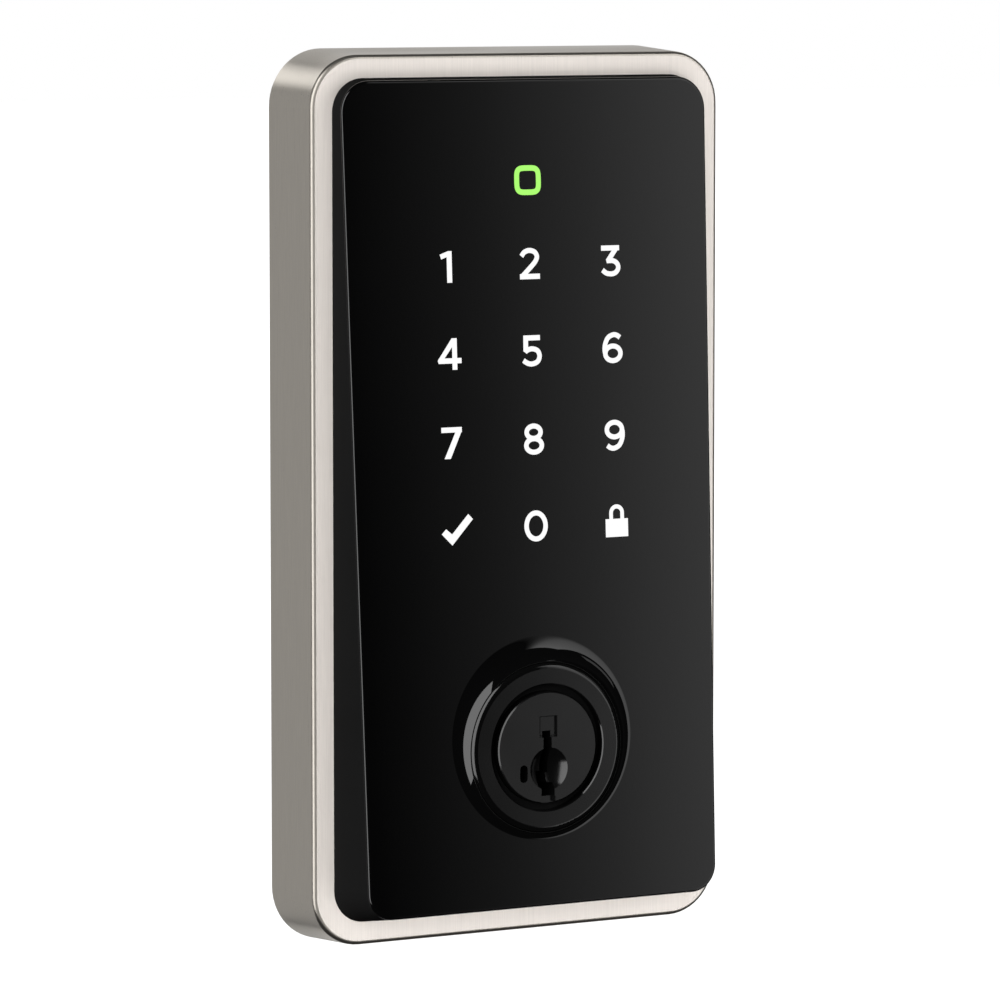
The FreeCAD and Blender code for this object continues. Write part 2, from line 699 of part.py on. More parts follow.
def keyway():
    """Warded key slot, stepping sideways twice on its way down."""
    depth = (COLLAR_FACE - 1, KEYWAY_BACK)
    upper, middle, lower = [block(x, depth, z) for x, z in KEYWAY_STEPS]
    return upper.fuse([middle, lower])


def plug_face_details():
    """Shallow marks in the plug's face: funnel, square mark, edge notch and tool slot."""
    ball = (FUNNEL_RADIUS ** 2 + FUNNEL_DEPTH ** 2) / (2 * FUNNEL_DEPTH)
    funnel = Part.makeSphere(ball, V(FUNNEL_X, COLLAR_FACE + FUNNEL_DEPTH - ball, FUNNEL_Z))
    mark = block(MARK_X, (COLLAR_FACE - 1, COLLAR_FACE + MARK_DEPTH), MARK_Z)
    notch = block(NOTCH_X, (COLLAR_FACE - 1, COLLAR_FACE + NOTCH_DEPTH), NOTCH_Z)
    width, (low, high) = TOOL_SLOT_WIDTH, TOOL_SLOT_Z
    slot = plate(four_corners(width, width, low, high, TOOL_SLOT_CORNER, TOOL_SLOT_CORNER),
                 COLLAR_FACE - 1, COLLAR_FACE + TOOL_SLOT_DEPTH)
    slot.translate(V(TOOL_SLOT_AT_X, 0, 0))
    return [funnel, mark, notch, slot]


def tumbler_rooms():
    """Chambers, wafer slots, sidebar slot and cover slot inside the plug."""
    rooms = []
    for y in tumbler_places():
        rooms.append(Part.makeCylinder(CHAMBER_RADIUS, CHAMBER_TOP - CHAMBER_BOTTOM,
                                       V(0, y, CHAMBER_BOTTOM), ALONG_Z))
        rooms.append(block(WAFER_SLOT_X, (y - WAFER_SLOT_HALF, y + WAFER_SLOT_HALF), WAFER_SLOT_Z))
        rooms.append(block((WAFER_TAB_X - 0.1, WAFER_SLOT_X[1]), (y - WAFER_TAB_HALF - 0.05,
                           y + WAFER_TAB_HALF + 0.05), (WAFER_TAB_Z[0] - 0.1, 4.4)))
    gap = SIDEBAR_GAP
    rooms.append(block((SIDEBAR_X[0] - 0.1, 12), (SIDEBAR_Y[0] - gap, SIDEBAR_Y[1] + gap),
                       (-SIDEBAR_HALF - gap, SIDEBAR_HALF + gap)))
    rooms.append(block(COVER_SLOT_X, COVER_SLOT_Y, (CHAMBER_TOP, BARREL_RADIUS)))
    for y in SIDEBAR_SPRINGS_Y:
        rooms.append(Part.makeCylinder(SIDEBAR_SPRING_RADIUS + FIT, SIDEBAR_X[0],
                                       V(SIDEBAR_SPRING_X, y, 0), ALONG_X))
    return rooms


def cylinder_plug():
    """Turning plug: round face, keyway, tumbler rooms and a slotted tail."""
    chamfer = PLUG_CHAMFER
    face = cone_y(PLUG_RADIUS - chamfer, PLUG_RADIUS, COLLAR_FACE, COLLAR_FACE + chamfer)
    barrel = bar_y(PLUG_RADIUS, COLLAR_FACE + chamfer, BARREL_BACK)
    tail = bar_y(TAIL_RADIUS, BARREL_BACK, TAIL_BACK)
    half_thick = BLADE_HALF_THICK + BLADE_SLOT_GAP
    half_width = BLADE_HALF_WIDTH + BLADE_SLOT_GAP
    blade_slot = block((-half_thick, half_thick), (BLADE_FRONT - 0.1, TAIL_BACK + 1),
                       (-half_width, half_width))
    clip_groove = bar_y(TAIL_RADIUS + 1, CLIP_FRONT - 0.02, CLIP_BACK + 0.02)
    clip_groove = clip_groove.cut(bar_y(CLIP_GROOVE_RADIUS, 0, 20))
    pin_hole = Part.makeCylinder(BLADE_PIN_RADIUS, 30, V(-15, BLADE_PIN_PLACE, 0), ALONG_X)
    tools = [blade_slot, clip_groove, pin_hole, keyway()] + plug_face_details() + tumbler_rooms()
    return cut(joined([face, barrel, tail]), tools)


def chamber_cover():
    """Strip that closes the chambers over the follower springs."""
    return block(COVER_STRIP_X, COVER_STRIP_Y, (CHAMBER_TOP, COVER_STRIP_TOP))


def follower(y):
    """Pointed brass pin with a neck that its wafer hooks into."""
    point = Part.makeCone(FOLLOWER_POINT_RADIUS, FOLLOWER_RADIUS, FOLLOWER_TIP,
                          V(0, y, FOLLOWER_BOTTOM), ALONG_Z)
    low = FOLLOWER_BOTTOM + FOLLOWER_TIP
    stem = Part.makeCylinder(FOLLOWER_RADIUS, FOLLOWER_TOP - low, V(0, y, low), ALONG_Z)
    neck_height = FOLLOWER_NECK[1] - FOLLOWER_NECK[0]
    neck_at = V(0, y, FOLLOWER_NECK[0])
    neck = Part.makeCylinder(FOLLOWER_RADIUS + 1, neck_height, neck_at, ALONG_Z)
    neck = neck.cut(Part.makeCylinder(FOLLOWER_NECK_RADIUS, neck_height, neck_at, ALONG_Z))
    return cut(joined([point, stem]), [neck])


def wafer(y):
    """Flat brass wafer with a tab for the follower and a gate for the sidebar."""
    leaf = block(WAFER_X, (y - WAFER_HALF_THICK, y + WAFER_HALF_THICK), WAFER_Z)
    tab = block((WAFER_TAB_X, WAFER_X[0] + 0.1), (y - WAFER_TAB_HALF, y + WAFER_TAB_HALF), WAFER_TAB_Z)
    gate = block((WAFER_X[1] - WAFER_GATE_DEPTH, WAFER_X[1] + 1), (y - 1, y + 1), WAFER_GATE_Z)
    return cut(joined([leaf, tab]), [gate])


def follower_spring(y):
    """Envelope of the coil spring that pushes a follower down."""
    height = CHAMBER_TOP - FOLLOWER_TOP
    place = V(0, y, FOLLOWER_TOP)
    sleeve = Part.makeCylinder(SPRING_RADIUS, height, place, ALONG_Z)
    return sleeve.cut(Part.makeCylinder(SPRING_BORE, height, place, ALONG_Z))


def sidebar():
    """Bar beside the wafers that blocks or frees the plug."""
    x = SIDEBAR_X[1] - SIDEBAR_NOSE
    body = block((SIDEBAR_X[0], x), SIDEBAR_Y, (-SIDEBAR_HALF, SIDEBAR_HALF))
    y = SIDEBAR_Y[0]
    tip = SIDEBAR_NOSE_HALF
    corners = [V(x, y, -SIDEBAR_HALF), V(SIDEBAR_X[1], y, -tip), V(SIDEBAR_X[1], y, tip),
               V(x, y, SIDEBAR_HALF)]
    nose = Part.Face(Part.makePolygon(corners + corners[:1])).extrude(V(0, SIDEBAR_Y[1] - y, 0))
    return joined([body, nose])


def sidebar_springs():
    """Envelopes of the two small springs behind the sidebar."""
    return group([Part.makeCylinder(SIDEBAR_SPRING_RADIUS, SIDEBAR_X[0] - SIDEBAR_SPRING_X,
                                    V(SIDEBAR_SPRING_X, y, 0), ALONG_X)
                  for y in SIDEBAR_SPRINGS_Y])


def plug_clip():
    """Open ring that keeps the plug in its housing."""
    ring = bar_y(CLIP_RADIUS, CLIP_FRONT, CLIP_BACK)
    ring = ring.cut(bar_y(CLIP_GROOVE_RADIUS + THREAD_GAP, 0, 20))
    mouth = block((-CLIP_MOUTH, CLIP_MOUTH), (CLIP_FRONT, CLIP_BACK), (-CLIP_RADIUS - 1, 0))
    return cut(ring, [mouth])


def torque_blade():
    """Flat steel blade that carries the plug's turn through the door."""
    blade = block((-BLADE_HALF_THICK, BLADE_HALF_THICK), (BLADE_FRONT, BLADE_BACK),
                  (-BLADE_HALF_WIDTH, BLADE_HALF_WIDTH))
    tip = edges_in_plane(blade, BLADE_BACK)
    tip = [edge for edge in tip if abs(edge.BoundBox.XLength) > 1]
    blade = blade.makeChamfer(0.8, tip)
    hole = Part.makeCylinder(BLADE_PIN_RADIUS + THREAD_GAP, 10, V(-5, BLADE_PIN_PLACE, 0), ALONG_X)
    return cut(blade, [hole])


def blade_pin():
    """Cross pin that holds the blade in the plug's tail."""
    reach = 5.7
    return Part.makeCylinder(BLADE_PIN_RADIUS - THREAD_GAP, 2 * reach,
                             V(-reach, BLADE_PIN_PLACE, 0), ALONG_X)


def build():
    """Every node's name with its shape."""
    nodes = {
        "escutcheon_frame": escutcheon_frame(),
        "touch_panel": touch_panel(),
        "panel_seal": seal_ring(),
        "diffuser_sheet": diffuser_sheet(),
        "light_baffle": light_baffle(),
        "status_light_pipe": status_light_pipe(),
        "touch_board": touch_board(),
        "key_leds": key_leds(),
        "status_leds": status_leds(),
        "controller_chip": controller_chip(),
        "cable_connector": cable_connector(),
        "board_screws": board_screws(),
        "module_cover": module_cover(),
        "panel_screws": panel_screws(),
        "back_plate": back_plate(),
        "back_plate_screws": back_plate_screws(),
        "rear_gasket": rear_gasket(),
        "cable_grommet": cable_grommet(),
        "mounting_post_left": mounting_post(-1),
        "mounting_post_right": mounting_post(1),
        "cylinder_collar": cylinder_collar(),
        "cylinder_body": cylinder_body(),
        "cylinder_seal": cylinder_seal(),
        "cylinder_screws": cylinder_screws(),
        "cylinder_plug": cylinder_plug(),
        "chamber_cover": chamber_cover(),
        "sidebar": sidebar(),
        "sidebar_springs": sidebar_springs(),
        "plug_clip": plug_clip(),
        "torque_blade": torque_blade(),
        "blade_pin": blade_pin(),
    }
    for number, y in enumerate(tumbler_places(), start=1):
        nodes[f"key_follower_{number}"] = follower(y)
        nodes[f"tumbler_wafer_{number}"] = wafer(y)
        nodes[f"follower_spring_{number}"] = follower_spring(y)
    return nodes


os.makedirs("parts", exist_ok=True)
for node, shape in build().items():
    shape.exportStep(f"parts/{node}.step")
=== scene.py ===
import math

import bpy
from mathutils import Matrix, Vector
from mathutils.geometry import delaunay_2d_cdt


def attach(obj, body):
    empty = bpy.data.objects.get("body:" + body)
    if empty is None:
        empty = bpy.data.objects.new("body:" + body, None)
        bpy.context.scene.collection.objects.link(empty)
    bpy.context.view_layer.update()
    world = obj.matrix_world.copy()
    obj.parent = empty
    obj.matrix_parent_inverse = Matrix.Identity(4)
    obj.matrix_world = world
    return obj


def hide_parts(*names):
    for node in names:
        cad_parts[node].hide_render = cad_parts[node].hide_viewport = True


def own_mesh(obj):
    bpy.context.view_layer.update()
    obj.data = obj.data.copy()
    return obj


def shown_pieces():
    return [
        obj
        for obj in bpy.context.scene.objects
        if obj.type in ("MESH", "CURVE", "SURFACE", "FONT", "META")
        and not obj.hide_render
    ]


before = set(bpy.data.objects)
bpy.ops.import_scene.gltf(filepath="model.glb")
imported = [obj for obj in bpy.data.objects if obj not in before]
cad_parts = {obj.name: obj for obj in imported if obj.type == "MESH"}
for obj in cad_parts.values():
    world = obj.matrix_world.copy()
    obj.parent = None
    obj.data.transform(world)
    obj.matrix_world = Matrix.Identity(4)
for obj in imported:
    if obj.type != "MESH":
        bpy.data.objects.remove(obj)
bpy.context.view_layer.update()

# The exterior half of a keypad smart lock. The frame, panel, cylinder and inner parts are the CAD
# nodes with finishes of their own. The panel's gloss skins, the brushed bezel, the lit symbols, the
# dark strips of painted shade along the walls of the mark on the plug and the follower springs are
# made here. Sizes are in millimetres and are turned into metres where points are made; the camera,
# the stage and the lights are in metres.
scene = bpy.context.scene
MM = 0.001
DEG = math.radians(1)
EXTERIOR = "exterior_unit"      # body of everything that doesn't turn with the key

# ---------------------------------------------------------------- camera
VIEW_AZIMUTH = -29.336 * DEG
VIEW_ELEVATION = 5.570 * DEG
VIEW_TARGET = Vector((-3.249, -12.7, 38.69)) * MM
VIEW_DISTANCE = 0.90577
LENS = 205.44


def direction(azimuth, elevation):
    """Unit vector from the object towards a bearing: azimuth 0 is in front (-Y), 90 is +X."""
    return Vector((math.sin(azimuth) * math.cos(elevation),
                   -math.cos(azimuth) * math.cos(elevation), math.sin(elevation)))


camera = bpy.data.objects.new("camera", bpy.data.cameras.new("camera"))
scene.collection.objects.link(camera)
camera.data.sensor_width = 36
camera.data.lens = LENS
camera.data.clip_start = 0.01
camera.data.clip_end = 50
back = direction(VIEW_AZIMUTH, VIEW_ELEVATION)
camera.location = VIEW_TARGET + back * VIEW_DISTANCE
camera.rotation_mode = "QUATERNION"
camera.rotation_quaternion = (-back).to_track_quat("-Z", "Y")
scene.camera = camera
scene.view_settings.view_transform = "Standard"
scene.view_settings.look = "None"


# ---------------------------------------------------------------- material helpers
MATERIALS = {}
NOISE_LOW = 0.3                 # nearly all of a noise field lies between these two
NOISE_HIGH = 0.7
BUMP_DISTANCE = 0.0001


def node_material(name):
    """New named material with its node tree and its Principled shader."""
    mat = bpy.data.materials.new("finish_" + name)
    mat.use_nodes = True
    MATERIALS[name] = mat
    return mat.node_tree, mat.node_tree.nodes["Principled BSDF"]


def add(tree, kind, **values):
    """New node; keywords set its attributes, or its inputs when the name is an input's."""
    node = tree.nodes.new(kind)
    for key, value in values.items():
        if hasattr(node, key):
            setattr(node, key, value)
        else:
            node.inputs[key.replace("_", " ")].default_value = value
    return node


def noise(tree, scale, stretch=(1, 1, 1), detail=4.0):
    """Noise in object space; stretch draws it out along each axis."""
    where = add(tree, "ShaderNodeTexCoord")
    mapping = add(tree, "ShaderNodeMapping", Scale=[scale / s for s in stretch])
    tree.links.new(where.outputs["Object"], mapping.inputs["Vector"])
    field = add(tree, "ShaderNodeTexNoise", Scale=1.0, Detail=detail, Roughness=0.6)
    tree.links.new(mapping.outputs["Vector"], field.inputs["Vector"])
    return field.outputs["Fac"]


def ranged(tree, field, low, high, start=NOISE_LOW, end=NOISE_HIGH):
    """Maps a field's start..end to low..high."""
    node = add(tree, "ShaderNodeMapRange", From_Min=start, From_Max=end, To_Min=low, To_Max=high)
    tree.links.new(field, node.inputs["Value"])
    return node.outputs["Result"]


def tinted(tree, field, dark, light):
    """Colour that runs from dark to light over a noise field."""
    ramp = add(tree, "ShaderNodeValToRGB")
    first, last = ramp.color_ramp.elements
    first.position = NOISE_LOW
    last.position = NOISE_HIGH
    first.color = (*dark, 1)
    last.color = (*light, 1)
    tree.links.new(field, ramp.inputs[0])
    return ramp.outputs["Color"]


def bump(tree, shader, field, height):
    node = add(tree, "ShaderNodeBump", Strength=height, Distance=BUMP_DISTANCE)
    tree.links.new(field, node.inputs["Height"])
    tree.links.new(node.outputs["Normal"], shader.inputs["Normal"])


def metal(name, colour, rough, grain=(1, 1, 1), spread=0.08, anisotropy=0.0, height=0.08,
          variation=0.1, scale=2500, metallic=1.0):
    """Metal with grain in its colour, roughness and bump; grain stretches the noise on each axis."""
    tree, shader = node_material(name)
    field = noise(tree, scale, grain)
    dark = [c * (1 - variation) for c in colour]
    light = [min(1, c * (1 + variation)) for c in colour]
    tree.links.new(tinted(tree, field, dark, light), shader.inputs["Base Color"])
    tree.links.new(ranged(tree, field, rough - spread, rough + spread), shader.inputs["Roughness"])
    shader.inputs["Metallic"].default_value = metallic
    if anisotropy:
        shader.inputs["Anisotropic"].default_value = anisotropy
        tangent = add(tree, "ShaderNodeTangent", direction_type="RADIAL", axis="Z")
        tree.links.new(tangent.outputs[0], shader.inputs["Tangent"])
    bump(tree, shader, field, height)


def moulded(name, dark, light, rough, spread=0.05, scale=400, height=0.1, ior=1.5):
    """Plastic, rubber or paint with a fine grain and slow tonal drift."""
    tree, shader = node_material(name)
    slow = noise(tree, scale / 12, detail=2.0)
    fine = noise(tree, scale * 5, detail=3.0)
    tree.links.new(tinted(tree, slow, dark, light), shader.inputs["Base Color"])
    tree.links.new(ranged(tree, slow, rough - spread, rough + spread), shader.inputs["Roughness"])
    shader.inputs["IOR"].default_value = ior
    bump(tree, shader, fine, height)


def lit(name, colour, strength):
    """Translucent print with light behind it, whose glow follows the print's grain."""
    tree, shader = node_material(name)
    field = noise(tree, 2500, detail=2.0)
    print_colour = tinted(tree, field, [c * 0.02 for c in colour], [c * 0.04 for c in colour])
    glow_colour = tinted(tree, field, [c * 0.95 for c in colour], colour)
    tree.links.new(print_colour, shader.inputs["Base Color"])
    tree.links.new(glow_colour, shader.inputs["Emission Color"])
    tree.links.new(ranged(tree, field, 0.35, 0.45), shader.inputs["Roughness"])
    shader.inputs["Emission Strength"].default_value = strength


# ---------------------------------------------------------------- finishes
# Outside metal, brushed up and down
metal("satin_nickel", (0.77, 0.72, 0.645), 0.3, (1, 1, 60), spread=0.03, anisotropy=0.5,
      height=0.012, variation=0.06, scale=9000)
metal("bezel_nickel", (0.79, 0.735, 0.685), 0.52, (1, 1, 60), spread=0.06, anisotropy=0.2,
      height=0.12, variation=0.05, scale=9000, metallic=0.2)

# Black parts of the front, from mirror gloss to matt
moulded("gloss_black", (0.0012, 0.0012, 0.0013), (0.0018, 0.0018, 0.0019), 0.03, spread=0.012,
        scale=300, height=0.004)
moulded("black_metal", (0.0015, 0.0015, 0.0016), (0.003, 0.003, 0.003), 0.09, spread=0.03,
        scale=700, height=0.01)
moulded("plug_face", (0.002, 0.002, 0.002), (0.004, 0.004, 0.004), 0.22, spread=0.03, scale=700,
        height=0.01)
moulded("panel_sides", (0.012, 0.012, 0.012), (0.014, 0.014, 0.014), 0.4, spread=0.04, scale=500,
        height=0.03, ior=1.0)

# Lit symbols, and the lights behind them
lit("symbol_white", (1.0, 1.0, 1.0), 1.0)
lit("symbol_green", (0.41, 1.0, 0.16), 1.0)
lit("led_white", (1.0, 0.97, 0.9), 0.6)
lit("led_green", (0.40, 1.0, 0.16), 0.6)

# Plastics and rubber
moulded("rubber_black", (0.012, 0.012, 0.012), (0.022, 0.022, 0.021), 0.72)
moulded("white_plastic", (0.72, 0.72, 0.70), (0.80, 0.80, 0.78), 0.5)
moulded("clear_plastic", (0.85, 0.88, 0.86), (0.92, 0.94, 0.92), 0.12)
moulded("circuit_board", (0.008, 0.07, 0.03), (0.014, 0.10, 0.045), 0.4)
moulded("chip_black", (0.010, 0.010, 0.011), (0.018, 0.018, 0.018), 0.55)
moulded("connector_plastic", (0.66, 0.62, 0.50), (0.74, 0.70, 0.58), 0.45)
moulded("black_plastic", (0.010, 0.010, 0.010), (0.018, 0.018, 0.018), 0.5)

# Inner and rear metal
metal("zinc_screws", (0.62, 0.62, 0.60), 0.3)
metal("zinc_steel", (0.58, 0.59, 0.60), 0.38, (12, 1, 1))
metal("cast_zinc", (0.47, 0.47, 0.47), 0.45, height=0.25, variation=0.12, scale=1500)
metal("spring_steel", (0.50, 0.50, 0.51), 0.28, spread=0.05, height=0.04, scale=3000)
metal("brass", (0.80, 0.58, 0.26), 0.25, spread=0.07, height=0.05)

# A node takes the finish of its slot, apart from these
OWN_FINISH = {"touch_panel": "panel_sides", "cylinder_plug": "plug_face",
              "cylinder_body": "panel_sides"}
for name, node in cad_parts.items():
    for holder in node.material_slots:
        holder.material = MATERIALS[OWN_FINISH.get(name, holder.material.name)]


def add_piece(name, verts, faces, material, body):
    """New mesh object that rides on a body."""
    mesh = bpy.data.meshes.new(name)
    mesh.from_pydata(verts, [], faces)
    mesh.materials.append(MATERIALS[material])
    piece = bpy.data.objects.new(name, mesh)
    scene.collection.objects.link(piece)
    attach(piece, body)
    return piece


# ---------------------------------------------------------------- front skins
# The panel's face leans back by FACE_TILT about a level line through the cylinder axis.
# Corners are (x, height, radius); a skin stands SKIN_LIFT in front of the CAD face that it covers.
FACE_TILT = 2.94 * DEG
FACE_AT_AXIS = -20.6
FACE_NORMAL = Vector((0, -math.cos(FACE_TILT), math.sin(FACE_TILT)))
FACE_CORNERS = [(-31.6, -25.4, 4.3), (31.6, -25.4, 4.3), (32.95, 105.5, 5.0), (-32.95, 105.5, 5.0)]
SKIRT_CORNERS = [(-33.1, -26.925, 5.25), (33.1, -26.925, 5.25), (33.1, 105.725, 5.25),
                 (-33.1, 105.725, 5.25)]
FRAME_FRONT = -12.7
EDGE_ROUND = 0.42
ROUND_STEPS = 8
SKIN_LIFT = 0.02
GLASS_THICKNESS = 0.015
CORNER_STEPS = 14
SIDE_STEPS = 24

# The flare runs up from the face to the collar, and reaches further out above the axis than below
FLARE_TOP = -21.88
FLARE_TOP_RADIUS = 13.7
FLARE_FEET = (17.65, -14.85)
FLARE_LIFT = 0.04
FLARE_LIFT_SHARE = 0.1          # share of the flare over which its extra lift grows
FLARE_THICKNESS = 0.03
FLARE_ROUND_STEPS = 192
FLARE_STEPS = 20
HIDDEN_LAP = 0.5                # how far the flat skin runs in under the flare

# The bezel's outer and inner edges: width, height, corner radius
BEZEL_EDGES = [(72.4, 138.7, 7.65), (66.32, 132.77, 5.31)]
BEZEL_MIDDLE = 39.4
BEZEL_THICKNESS = 0.015


def on_face(x, v, out):
    """Point in metres at (x, height) along the slanted face, out in front of it; all in mm."""
    return Vector((x, FACE_AT_AXIS + v * math.sin(FACE_TILT) - out * math.cos(FACE_TILT),
                   v * math.cos(FACE_TILT) + out * math.sin(FACE_TILT))) * MM


def outline(corners):
    """Points round a four-cornered outline, with rounded corners and divided sides."""
    arcs = []
    for place, (x, z, radius) in enumerate(corners):
        corner = Vector((x, z))
        last, following = corners[place - 1], corners[(place + 1) % 4]
        to_last = (Vector(last[:2]) - corner).normalized()
        to_next = (Vector(following[:2]) - corner).normalized()
        half = to_last.angle(to_next) / 2
        middle = corner + (to_last + to_next).normalized() * (radius / math.sin(half))
        start = corner + to_last * (radius / math.tan(half)) - middle
        sweep = start.angle_signed(corner + to_next * (radius / math.tan(half)) - middle)
        arc = []
        for step in range(CORNER_STEPS + 1):
            turn = -sweep * step / CORNER_STEPS
            arc.append(middle + Vector((start.x * math.cos(turn) - start.y * math.sin(turn),
                                        start.x * math.sin(turn) + start.y * math.cos(turn))))
        arcs.append(arc)
    points = []
    for place, arc in enumerate(arcs):
        after = arcs[(place + 1) % 4][0]
        points += arc
        points += [arc[-1].lerp(after, step / SIDE_STEPS) for step in range(1, SIDE_STEPS)]
    return points


def skin(name, loops, normals, thickness, material):
    """Closed thin shell whose outside runs through matching loops of points, with exact normals."""
    count = len(loops[0])
    outside = [p for loop in loops for p in loop]
    facing = [n for loop in normals for n in loop]
    inside = [p - n * thickness * MM for p, n in zip(outside, facing)]
    total = len(outside)
    faces = []
    for level in range(len(loops) - 1):
        for place in range(count):
            a = level * count + place
            b = level * count + (place + 1) % count
            faces.append((a, b, b + count, a + count))
    faces += [tuple(p + total for p in reversed(face)) for face in faces]
    for level, flip in ((0, False), (len(loops) - 1, True)):
        for place in range(count):
            a = level * count + place
            b = level * count + (place + 1) % count
            face = (b, a, a + total, b + total)
            faces.append(face[::-1] if flip else face)
    piece = add_piece(name, outside + inside, faces, material, EXTERIOR)
    piece.data.shade_smooth()
    piece.data.normals_split_custom_set_from_vertices(facing + [-n for n in facing])
    return piece


def flare_side(foot, share):
    """(point, normal) in the plane x = 0 on the flare's arc that starts at the given foot height."""
    side = 1 if foot > 0 else -1
    base = on_face(0, foot / math.cos(FACE_TILT), 0) / MM
    top = Vector((0, FLARE_TOP, side * FLARE_TOP_RADIUS))
    inward = Vector((0, -math.sin(FACE_TILT), -math.cos(FACE_TILT))) * side
    reach = (top - base).dot(inward)
    rise = (top - base).dot(FACE_NORMAL)
    radius = (reach ** 2 + rise ** 2) / (2 * rise)
    sweep = math.asin(reach / radius) * share
    point = base + inward * radius * math.sin(sweep) + FACE_NORMAL * radius * (1 - math.cos(sweep))
    return point, FACE_NORMAL * math.cos(sweep) - inward * math.sin(sweep)


def flare_loop(share, angles):
    """Loop of points and normals round the flare, at a share of the way from its foot to its top."""
    (high, high_normal), (low, low_normal) = [flare_side(foot, share) for foot in FLARE_FEET]
    lean_high = math.acos(max(-1, min(1, high_normal.dot(FACE_NORMAL))))
    lean_low = math.acos(max(-1, min(1, low_normal.dot(FACE_NORMAL))))
    middle = (high + low) / 2
    upward = (high - low) / 2
    lift = SKIN_LIFT + FLARE_LIFT * min(1, share / FLARE_LIFT_SHARE)
    points = []
    normals = []
    for angle in angles:
        out = upward * math.sin(angle)
        out.x = upward.length * math.cos(angle)
        mix = (1 + math.sin(angle)) / 2
        lean = lean_high * mix + lean_low * (1 - mix)
        normal = (FACE_NORMAL * math.cos(lean) + out.normalized() * math.sin(lean)).normalized()
        points.append((middle + out + normal * lift) * MM)
        normals.append(normal)
    return points, normals


def rolled_edge():
    """Loops and normals from the panel's wall round its edge onto the slanted face."""
    face = [on_face(p.x, p.y, 0) / MM for p in outline(FACE_CORNERS)]
    skirt = [Vector((p.x, FRAME_FRONT, p.y)) for p in outline(SKIRT_CORNERS)]
    loops, normals = [], []
    for step in range(ROUND_STEPS + 1):
        t = step / ROUND_STEPS
        loop, facing = [], []
        for place, (edge, root) in enumerate(zip(face, skirt)):
            along = (face[(place + 1) % len(face)] - face[place - 1]).normalized()
            inward = FACE_NORMAL.cross(along).normalized()
            down = (root - edge).normalized()
            wall = along.cross(down).normalized()
            if wall.dot(inward) > 0:
                wall = -wall
            spot = edge + down * EDGE_ROUND * (1 - t) ** 2 + inward * EDGE_ROUND * t ** 2
            normal = (wall * (1 - t) + FACE_NORMAL * t).normalized()
            loop.append((spot + normal * SKIN_LIFT) * MM)
            facing.append(normal)
        loops.append(loop)
        normals.append(facing)
    return loops, normals


def panel_glass():
    """Gloss face of the panel: rolled edge and flat slanted face, with a round hole under the flare."""
    loops, normals = rolled_edge()
    (right, left), _ = flare_loop(0, [0, math.pi])
    centre = (right + left) / 2
    radius = (right - left).length / 2 - HIDDEN_LAP * MM
    upward = Vector((0, math.sin(FACE_TILT), math.cos(FACE_TILT)))
    hole = []
    for spot in loops[-1]:
        away = spot - centre
        angle = math.atan2(away.dot(upward), away.x)
        hole.append(centre + radius * (upward * math.sin(angle) + Vector((math.cos(angle), 0, 0))))
    loops.append(hole)
    normals.append([FACE_NORMAL] * len(hole))
    skin("panel_glass", loops, normals, GLASS_THICKNESS, "gloss_black")


def collar_flare():
    """Gloss skin over the concave blend from the panel's face up to the collar."""
    angles = [2 * math.pi * step / FLARE_ROUND_STEPS for step in range(FLARE_ROUND_STEPS)]
    loops, normals = zip(*[flare_loop(step / FLARE_STEPS, angles) for step in range(FLARE_STEPS + 1)])
    skin("collar_flare", loops, normals, FLARE_THICKNESS, "gloss_black")


def bezel_face():
    """Brushed flat of the frame's front, between its rolled edge and the aperture."""
    loops = []
    for width, height, corner in BEZEL_EDGES:
        corners = [(x * width / 2, BEZEL_MIDDLE + z * height / 2, corner)
                   for x, z in ((-1, -1), (1, -1), (1, 1), (-1, 1))]
        loops.append([Vector((p.x, FRAME_FRONT - SKIN_LIFT, p.y)) * MM for p in outline(corners)])
    towards = [[Vector((0, -1, 0))] * len(loops[0])] * 2
    return skin("bezel_face", loops, towards, BEZEL_THICKNESS, "bezel_nickel")


panel_glass()
collar_flare()
bezel = bezel_face()


# ---------------------------------------------------------------- springs
TUMBLERS = 5
FIRST_TUMBLER = -16.1
TUMBLER_PITCH = 3.8
SPRING_FOOT = 4.1               # on the follower, which lifts it
SPRING_TOP = 7.75               # under the chamber cover, which is fixed to the plug
COIL_RADIUS = 0.95
WIRE_RADIUS = 0.17
COIL_TURNS = 5.5
CLOSED_TURNS = 0.8              # at each end
TURN_STEPS = 28
WIRE_SIDES = 10


def coil_tube(start, axis, length):
    """Points and faces of a round wire wound along an axis, with closed turns at both ends."""
    side = axis.orthogonal().normalized()
    other = axis.cross(side)
    steps = int(COIL_TURNS * TURN_STEPS)
    verts, faces = [], []
    for step in range(steps + 1):
        turns = COIL_TURNS * step / steps
        out = side * math.cos(2 * math.pi * turns) + other * math.sin(2 * math.pi * turns)
        climb = min(1, max(0, (turns - CLOSED_TURNS) / (COIL_TURNS - 2 * CLOSED_TURNS)))
        rise = WIRE_RADIUS + (length - 2 * WIRE_RADIUS) * climb
        middle = start + axis * rise + out * COIL_RADIUS
        for corner in range(WIRE_SIDES):
            angle = 2 * math.pi * corner / WIRE_SIDES
            verts.append((middle + (out * math.cos(angle) + axis * math.sin(angle)) * WIRE_RADIUS) * MM)
    for step in range(steps):
        for corner in range(WIRE_SIDES):
            a = step * WIRE_SIDES + corner
            b = step * WIRE_SIDES + (corner + 1) % WIRE_SIDES
            faces.append((a, b, b + WIRE_SIDES, a + WIRE_SIDES))
    faces.append(tuple(range(WIRE_SIDES)))
    faces.append(tuple(reversed(range(steps * WIRE_SIDES, (steps + 1) * WIRE_SIDES))))
    return verts, faces


